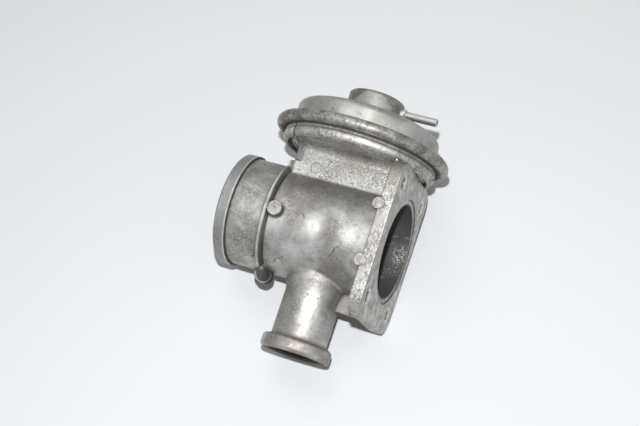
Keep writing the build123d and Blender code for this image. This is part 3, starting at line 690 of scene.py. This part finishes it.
def close_seams(mesh, sharp=math.radians(40)):
    """Merges doubles, turns the faces outwards and shades smooth up to an angle."""
    shell = bmesh.new()
    shell.from_mesh(mesh)
    bmesh.ops.remove_doubles(shell, verts=shell.verts, dist=1e-6)
    bmesh.ops.recalc_face_normals(shell, faces=shell.faces)
    shell.to_mesh(mesh)
    shell.free()
    mesh.shade_smooth()
    mesh.set_sharp_from_angle(angle=sharp)


def circle_points(steps):
    """Cosine and sine of evenly spaced turns round a circle."""
    turns = [2 * math.pi * step / steps for step in range(steps)]
    return [(math.cos(turn), math.sin(turn)) for turn in turns]


def turned(name, section, steps, material, body):
    """A closed section of radius and height in millimetres, turned round the stem's axis."""
    points = [
        (stem_x + radius * cosine / 1000, height / 1000, radius * sine / 1000)
        for cosine, sine in circle_points(steps) for radius, height in section]
    faces = []
    count = len(section)
    for step in range(steps):
        here, there = step * count, (step + 1) % steps * count
        for point in range(count):
            after = (point + 1) % count
            faces.append((here + point, here + after, there + after, there + point))
    piece = mesh_piece(name, points, faces, material)
    close_seams(piece.data)
    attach(piece, body)
    return piece


# Full round of the bowl's wall, from its underside up to the crimp
bulge_r = 3.5
bulge_across = 40.2
bulge_up = 45.3
bulge_foot = [(40.0, 42.4), (40.0, 48.4)]
bulge_turns = [math.radians(85 - 175 * step / 20) for step in range(21)]
turned("bowl_bulge", bulge_foot + [
    (bulge_across + bulge_r * math.cos(turn), bulge_up + bulge_r * math.sin(turn))
    for turn in bulge_turns], 160, cast_aluminium, "housing")

# Beads of metal left on the flange's top edge
metal_bead_r = 0.0007
beads = bmesh.new()
for bead_place in ((-0.0070, 0.0420, 0.0320), (-0.0010, 0.0424, 0.0290)):
    bmesh.ops.create_icosphere(
        beads, subdivisions=3, radius=metal_bead_r, matrix=Matrix.Translation(bead_place))
cast_piece("flange_beads", beads, cast_aluminium)

# Lobe that closes the rib's lower end, painted dark as shade, with a painted highlight on its rim
lobe_middle = Vector((-0.0660, -0.0325, 0))
lobe_r = 0.0045
lobe_foot = 0.0015
lobe_top = 0.0060
lobe_bevel = 0.0005
rib_end = Vector((-0.0670, -0.0300, 0.0095))
rib_end_r = 0.0030
lobe_rings = [(lobe_middle, lobe_r, lobe_foot), (lobe_middle, lobe_r, lobe_top - lobe_bevel),
              (lobe_middle, lobe_r - lobe_bevel, lobe_top)]
for rise in [math.radians(15 * step) for step in range(6)]:
    lobe_rings.append((rib_end, rib_end_r * math.cos(rise), rib_end_r * math.sin(rise)))
lobe_shell = bmesh.new()
for middle, radius, height in lobe_rings:
    for cosine, sine in circle_points(48):
        lobe_shell.verts.new(middle + Vector((radius * cosine, radius * sine, height)))
bmesh.ops.convex_hull(lobe_shell, input=lobe_shell.verts)
loose = [vert for vert in lobe_shell.verts if not vert.link_faces]
bmesh.ops.delete(lobe_shell, geom=loose, context="VERTS")
lobe = Finish("painted_shade_lobe", (0.14, 0.132, 0.122), 0.6)
from_lobe_axis = lobe.reach(lobe.less(lobe.x, lobe_middle.x), lobe.less(lobe.y, lobe_middle.y))
lobe.lay(lobe.patches(0.003, 0.4, 0.3, 2.0), 0.6, colour=(0.08, 0.074, 0.066), roughness=0.7)
lobe_rim_highlight = lobe.both(lobe.step(from_lobe_axis, lobe_r - 0.0008, lobe_r - 0.0004),
                     lobe.step(lobe.z, lobe_top - 0.0014, lobe_top - 0.0006))
lobe.lay(lobe_rim_highlight, 0.85, colour=(0.56, 0.55, 0.53), roughness=0.4)
cast_piece("rib_lobe", lobe_shell, lobe.close(lobe.bumps(0.0008, 0.004, 0.00004, 0.0002)),
           math.radians(40))

# ----------------------------------------
# Exhaust seat, poppet and stem: turned from heat-resisting steel, tinted by the
# exhaust's heat and dusted with soot. The seat is pressed into the inlet pipe.
# ----------------------------------------
valve_metal = Finish("heat_tinted_steel", (0.22, 0.17, 0.12), 0.38)
valve_metal.lay(valve_metal.patches(0.006, 0.5, 0.2, 1.7),
                colour=(0.10, 0.09, 0.10), roughness=0.5)
# Soot and painted shade in the hollows, and edges worn lighter
hollows, edges = valve_metal.relief(0.002, 0.0006)
valve_metal.lay(hollows, colour=soot, roughness=0.85, metallic=0.2)
valve_metal.lay(edges, 0.5, colour=(0.45, 0.42, 0.38), roughness=0.3)
heat_tinted_steel = valve_metal.close(valve_metal.bumps(0.0006, 0.01, 0.00002, 0.0))
for node in ("valve_seat", "valve_head", "valve_stem"):
    dress(node, heat_tinted_steel)

# ----------------------------------------
# Stem guide, carbon scraper in its cup, and the seal under its retainer, fitted
# to the guide boss from either end. The plates, washers and nut on the stem and
# the spring's seat have the cup's passivated steel.
# ----------------------------------------
bronze = Finish("guide_bronze", (0.42, 0.27, 0.12), 0.4)
bronze.lay(bronze.patches(0.004, 0.4, 0.2, 6.0), colour=(0.20, 0.13, 0.07), roughness=0.55)
dress("stem_guide", bronze.close(bronze.bumps(0.0005, 0.01, 0.00002, 0.0)))

carbon = Finish("packed_carbon", (0.03, 0.03, 0.032), 0.6, 0.0)
dress("stem_scraper", carbon.close(carbon.bumps(0.0004, 0.01, 0.00002, 0.0)))

pressed_steel = Finish("zinc_passivated_steel", (0.38, 0.37, 0.34), 0.36)
pressed_steel.lay(pressed_steel.patches(0.007, 0.4, 0.2, 2.9),
                  colour=(0.26, 0.24, 0.20), roughness=0.5)
# Dirt and painted shade in the hollows
hollows = pressed_steel.relief(0.002, 0.0006)["Hollows"]
pressed_steel.lay(hollows, colour=grime_and_shade, roughness=0.75, metallic=0.5)
pressed_steel = pressed_steel.close(pressed_steel.bumps(0.0006, 0.01, 0.00001, 0.0))
for node in ("scraper_cup", "seal_retainer", "stem_collar", "lower_plate", "upper_plate",
             "clamp_washer", "stem_nut", "spring_seat"):
    dress(node, pressed_steel)

rubber_finish = Finish("black_rubber", (0.018, 0.018, 0.019), 0.55, 0.0)
rubber_finish.lay(rubber_finish.patches(0.005, 0.3, 0.2, 8.0),
                  colour=(0.04, 0.038, 0.036), roughness=0.7)
black_rubber = rubber_finish.close(rubber_finish.bumps(0.0005, 0.01, 0.00002, 0.0))
dress("stem_seal", black_rubber)

# ----------------------------------------
# Diaphragm: fabric-backed rubber with its bead in the crimp, one roll, and a
# disc clamped between the plates. The roll shortens as the valve lifts, but this
# mesh keeps one shape.
# ----------------------------------------
rubber = 1.2
disc_bore_r = 2.8
roll_inner = 29.5
roll_outer = 38.6
roll_low = 56.8
disc_low = 49.8
bead_low = 51.8
bead_r = 46.6
roll_middle = (roll_inner + roll_outer) / 2
roll_span = (roll_outer - roll_inner) / 2
arc = [math.pi * step / 16 for step in range(17)]


def arch(radius, turns):
    """Points of the roll's arch, as radius and height in millimetres."""
    return [(roll_middle + radius * math.cos(turn), roll_low + radius * math.sin(turn))
            for turn in turns]


over = arch(roll_span + rubber / 2, arc)
under = arch(roll_span - rubber / 2, reversed(arc))
half_over = [point for point in over if point[0] >= roll_middle - 0.01]
half_under = [point for point in under if point[0] >= roll_middle - 0.01]
outer_roll = turned("diaphragm_bead_and_roll", half_over + half_under + [
    (roll_outer - rubber / 2, bead_low), (bead_r, bead_low), (bead_r, bead_low + rubber),
    (roll_outer + rubber / 2, bead_low + rubber)], 128, black_rubber, "housing")
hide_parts("diaphragm")
inner_over = [point for point in over if point[0] <= roll_middle + 0.01]
inner_under = [point for point in under if point[0] <= roll_middle + 0.01]
inner_roll = turned("diaphragm_inner_roll", inner_over + [
    (roll_inner - rubber / 2, disc_low), (roll_inner + rubber / 2, disc_low)] + inner_under, 128,
    black_rubber, "housing")
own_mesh(inner_roll)
turned("diaphragm_disc", (
    (disc_bore_r, disc_low), (roll_inner - rubber / 2, disc_low),
    (roll_inner - rubber / 2, disc_low + rubber), (disc_bore_r, disc_low + rubber)), 96,
    black_rubber, "valve")

# ----------------------------------------
# Lift stop: a moulded plastic plug pressed into the top of the turret. The end
# of the stem stops just short of it at full lift.
# ----------------------------------------
plastic = Finish("stop_plastic", (0.55, 0.53, 0.47), 0.45, 0.0)
dress("travel_stop", plastic.close(plastic.bumps(0.0008, 0.01, 0.00001, 0.0)))

# ----------------------------------------
# Return spring: round wire, coiled cold and oil blackened, with closed end turns.
# It stands on the upper plate, round the washer, under its seat in the turret.
# ----------------------------------------
wire_finish = Finish("oiled_spring_wire", (0.16, 0.155, 0.15), 0.3)
wire_finish.lay(wire_finish.patches(0.004, 0.3, 0.15, 5.0),
                colour=(0.07, 0.06, 0.05), roughness=0.5)
oiled_wire = wire_finish.close()


def geometry_tree(name, inputs):
    """A geometry node tree with named inputs, each of its value's kind."""
    kinds = {float: "NodeSocketFloat", int: "NodeSocketInt",
             bpy.types.Material: "NodeSocketMaterial"}
    tree = bpy.data.node_groups.new(name, "GeometryNodeTree")
    tree.interface.new_socket("Geometry", in_out="INPUT", socket_type="NodeSocketGeometry")
    tree.interface.new_socket("Geometry", in_out="OUTPUT", socket_type="NodeSocketGeometry")
    for label, value in inputs.items():
        socket = tree.interface.new_socket(label, in_out="INPUT", socket_type=kinds[type(value)])
        socket.default_value = value
    given = add_node(tree, "NodeGroupInput").outputs
    return tree, given, add_node(tree, "NodeGroupOutput").inputs


def made_by(tree, name, mesh, values):
    """A plain mesh object made by a geometry node tree from a start mesh."""
    piece = bpy.data.objects.new(name, mesh)
    scene.collection.objects.link(piece)
    modifier = piece.modifiers.new(name, "NODES")
    modifier.node_group = tree
    for socket in tree.interface.items_tree:
        if socket.name in values:
            modifier[socket.identifier] = values[socket.name]
    evaluated = piece.evaluated_get(bpy.context.evaluated_depsgraph_get())
    made = bpy.data.meshes.new_from_object(evaluated)
    piece.modifiers.clear()
    piece.data = made
    made.name = name
    return piece


spring_low = 0.0522
spring_high = 0.0788
wire_r = 0.0011
spring_inputs = {
    "Turns": 6.5, "Coil radius": 0.0123, "Wire radius": wire_r,
    "Height": spring_high - spring_low - 2 * wire_r, "End turns": 1.0, "Wire": oiled_wire}
coil, given, result = geometry_tree("coil_spring", spring_inputs)
centre_line = add_node(coil, "GeometryNodeCurveSpiral", {
    "Resolution": 48, "Rotations": given["Turns"], "Start Radius": given["Coil radius"],
    "End Radius": given["Coil radius"], "Height": 0.0})
along = add_node(coil, "GeometryNodeSplineParameter").outputs["Factor"]
end_share = maths(coil, "DIVIDE", given["End turns"], given["Turns"])
head_start = maths(coil, "SUBTRACT", 1.0, end_share)
wire_width = maths(coil, "MULTIPLY", given["Wire radius"], 2.0)
open_height = maths(coil, "MULTIPLY_ADD", wire_width, -2.0, given["Height"])
# The wire climbs by its own width in each closed end turn, and freely in between
climb = 0.0
for low, high, height in (
        (0.0, end_share, wire_width), (end_share, head_start, open_height),
        (head_start, 1.0, wire_width)):
    climb = maths(coil, "ADD", climb, add_node(coil, "ShaderNodeMapRange", {
        "Value": along, "From Min": low, "From Max": high, "To Max": height}).outputs[0])
rise = add_node(coil, "ShaderNodeCombineXYZ", {"Z": climb})
raised = add_node(coil, "GeometryNodeSetPosition", {
    "Geometry": centre_line.outputs[0], "Offset": rise.outputs[0]})
wire_section = add_node(coil, "GeometryNodeCurvePrimitiveCircle", {
    "Resolution": 12, "Radius": given["Wire radius"]})
wire = add_node(coil, "GeometryNodeCurveToMesh", {
    "Curve": raised.outputs[0], "Profile Curve": wire_section.outputs[0], "Fill Caps": True})
wire = add_node(coil, "GeometryNodeSetShadeSmooth", {"Geometry": wire.outputs[0]})
wire = add_node(coil, "GeometryNodeRealizeInstances", {"Geometry": wire.outputs[0]})
wire = add_node(coil, "GeometryNodeSetMaterial", {
    "Geometry": wire.outputs[0], "Material": given["Wire"]})
coil.links.new(wire.outputs[0], result[0])

spring = made_by(coil, "coil_spring", bpy.data.meshes.new("coil_spring"), spring_inputs)
spring.data.transform(Matrix.Translation((stem_x, spring_low + wire_r, 0)) @ Matrix.Rotation(
    -math.pi / 2, 4, "X"))
close_seams(spring.data)
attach(spring, "housing")
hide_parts("return_spring")
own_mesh(spring)

# ----------------------------------------
# Cover: pressed from sheet steel and zinc plated, a shallow dish with a turret
# for the spring. Its foot is held in the crimp ring.
# ----------------------------------------
plate = Finish("cover_steel", (0.35, 0.341, 0.318), 0.50)
plate.lay(plate.patches(0.030, 0.5, 0.25, 1.3), colour=(0.43, 0.422, 0.40), roughness=0.47)
plate.lay(plate.patches(0.010, 0.36, 0.20, 8.1), 0.55, colour=(0.20, 0.19, 0.168), roughness=0.58)
plate.lay(
    plate.spot((-0.0600, 0.0590, 0.0340), (0.0200, 0.0080, 0.020), 0.1),
    plate.patches(0.009, 0.6, 0.35, 4.2), 0.6,
    colour=(0.22, 0.208, 0.185), roughness=0.56)
plate.lay(
    plate.spot((-0.0120, 0.0580, 0.0310), (0.0120, 0.0060, 0.016), 0.1),
    plate.patches(0.008, 0.6, 0.35, 9.4), 0.7,
    colour=(0.58, 0.572, 0.55), roughness=0.5)
# A painted highlight that widens the streak across the cover's wall
plate.lay(
    plate.spot((-0.0420, 0.0590, 0.0400), (0.0150, 0.0070, 0.012), 0.1),
    plate.patches(0.010, 0.6, 0.35, 6.8), 0.8,
    colour=(0.62, 0.612, 0.59), roughness=0.55)
plate.lay(plate.patches(0.0012, 0.30, 0.15, 3.7), plate.patches(0.012, 0.4, 0.2, 5.5), 0.55,
          colour=(0.13, 0.12, 0.105), roughness=0.6)
on_turret = plate.step(plate.y, 0.0675, 0.0695)
plate.lay(on_turret, 0.55, colour=(0.27, 0.258, 0.24), roughness=0.6)
# Paler on the turret's right side: painted light on its shaded side
plate.lay(on_turret, plate.spot((-0.0240, 0.0735, 0.0100), (0.0080, 0.0060, 0.012), 0.2), 0.7,
          colour=(0.44, 0.43, 0.41), roughness=0.6)
plate.lay(on_turret, plate.patches(0.008, 0.46, 0.16, 2.4), 0.7,
          colour=(0.12, 0.11, 0.095), roughness=0.62)
plate.lay(plate.hairlines(0.03, 0.004, 7.0), plate.patches(0.02, 0.3, 0.1, 0.6), 0.4,
          colour=(0.12, 0.11, 0.10), roughness=0.6)
# Dirt and painted shade in the hollows, and edges worn bright
hollows, edges = plate.relief(0.003, 0.0008)
plate.lay(hollows, 0.85, colour=grime_and_shade, roughness=0.8, metallic=0.5)
plate.lay(edges, 0.4, colour=worn_bright, roughness=0.35)
dress("cover", plate.close(plate.bumps(0.0007, 0.02, 0.00002, 0.0002)))

# ----------------------------------------
# Crimp ring: a steel band rolled over the flange of the bowl, the diaphragm's
# bead and the cover's foot, its plating blotched and darkened by the rolling.
# ----------------------------------------
band = Finish("crimp_steel", (0.36, 0.348, 0.326), 0.53)
band.lay(band.patches(0.008, 0.46, 0.12, 4.8), 0.75, colour=(0.17, 0.157, 0.14), roughness=0.6)
band.lay(band.patches(0.0042, 0.36, 0.10, 7.9), 0.6, colour=(0.47, 0.455, 0.425), roughness=0.55)
band.lay(band.patches(0.0014, 0.36, 0.15, 6.6), 0.5, colour=(0.07, 0.063, 0.055), roughness=0.65)
band.lay(band.hairlines(0.010, 0.012, 3.0), band.patches(0.01, 0.4, 0.1, 2.6), 0.7,
         colour=grime_and_shade, roughness=0.65)
# Painted shade along the ring's inner edge, where it meets the bowl and the cover, and dirt and
# painted shade in its hollows
from_ring_axis = band.reach(band.less(band.x, stem_x), band.z)
band.lay(band.step(from_ring_axis, 0.0466, 0.0452), 0.85,
         colour=grime_and_shade, roughness=0.8, metallic=0.5)
band.lay(band.relief(0.003, 0.0008)["Hollows"], 0.9,
         colour=grime_and_shade, roughness=0.8, metallic=0.5)
crimp_steel = band.close(band.bumps(0.0009, 0.012, 0.00006, 0.0004))

ring_r = 0.0466
ring_middle = 0.0521
roll_r = 0.0032
sheet = 0.0011
lip = 0.0026
lip_round = 0.0003
steps = 12
turns = [math.pi / 2 - math.pi * step / steps for step in range(steps + 1)]
inside_r = roll_r - sheet
section = [(roll_r * math.cos(turn), roll_r * math.sin(turn)) for turn in turns]
section += [(lip_round - lip, -roll_r), (-lip, lip_round - roll_r),
            (-lip, -lip_round - inside_r), (lip_round - lip, -inside_r)]
section += [(inside_r * math.cos(turn), inside_r * math.sin(turn)) for turn in reversed(turns)]
section += [(lip_round - lip, inside_r), (-lip, inside_r + lip_round),
            (-lip, roll_r - lip_round), (lip_round - lip, roll_r)]
section_mesh = bpy.data.meshes.new("rolled_section")
section_mesh.from_pydata([(across, up, 0) for across, up in section], [
    (point, (point + 1) % len(section)) for point in range(len(section))], [])

ring_inputs = {"Ring radius": ring_r, "Steps": 180, "Waviness": 0.0005, "Wave size": 0.011,
               "Seed": 4.0, "Band": crimp_steel}
rolled, given, result = geometry_tree("rolled_ring", ring_inputs)
section_line = add_node(rolled, "GeometryNodeMeshToCurve", {"Mesh": given["Geometry"]})
circle = add_node(rolled, "GeometryNodeCurvePrimitiveCircle", {
    "Resolution": given["Steps"], "Radius": given["Ring radius"]})
swept = add_node(rolled, "GeometryNodeCurveToMesh", {
    "Curve": circle.outputs[0], "Profile Curve": section_line.outputs[0]})
spot_place = add_node(rolled, "GeometryNodeInputPosition").outputs[0]
inward = vector_maths(rolled, "NORMALIZE", vector_maths(
    rolled, "MULTIPLY", spot_place, (-1, -1, 0)))
dents = noise(rolled, spot_place, given["Wave size"], 2.0, seed=given["Seed"])[0]
shift = vector_maths(rolled, "SCALE", inward, maths(rolled, "MULTIPLY", dents, given["Waviness"]))
swept = add_node(rolled, "GeometryNodeSetPosition", {
    "Geometry": swept.outputs[0], "Offset": shift})
swept = add_node(rolled, "GeometryNodeSetShadeSmooth", {"Geometry": swept.outputs[0]})
swept = add_node(rolled, "GeometryNodeRealizeInstances", {"Geometry": swept.outputs[0]})
swept = add_node(rolled, "GeometryNodeSetMaterial", {
    "Geometry": swept.outputs[0], "Material": given["Band"]})
rolled.links.new(swept.outputs[0], result[0])

ring = made_by(rolled, "rolled_crimp_ring", section_mesh, ring_inputs)
ring.data.transform(Matrix.Translation((stem_x, ring_middle, 0)) @ Matrix.Rotation(
    math.pi / 2, 4, "X"))
close_seams(ring.data)
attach(ring, "housing")
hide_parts("crimp_ring")

# ----------------------------------------
# Vacuum nipple: a plated steel tube let into the turret's side and held by a
# collar of braze, tinted by the flame.
# ----------------------------------------
tube = Finish("nipple_steel", (0.50, 0.49, 0.47), 0.3)
tube.lay(tube.patches(0.004, 0.4, 0.2, 2.0), 0.6, colour=(0.30, 0.29, 0.27), roughness=0.45)
dress("vacuum_nipple", tube.close(tube.bumps(0.0006, 0.01, 0.00001, 0.0)))

joint = Finish("braze", (0.60, 0.585, 0.54), 0.35)
joint.lay(joint.patches(0.002, 0.35, 0.2, 3.0), colour=(0.32, 0.27, 0.20), roughness=0.5)
dress("nipple_collar", joint.close(joint.bumps(0.0008, 0.003, 0.00004, 0.0002)))
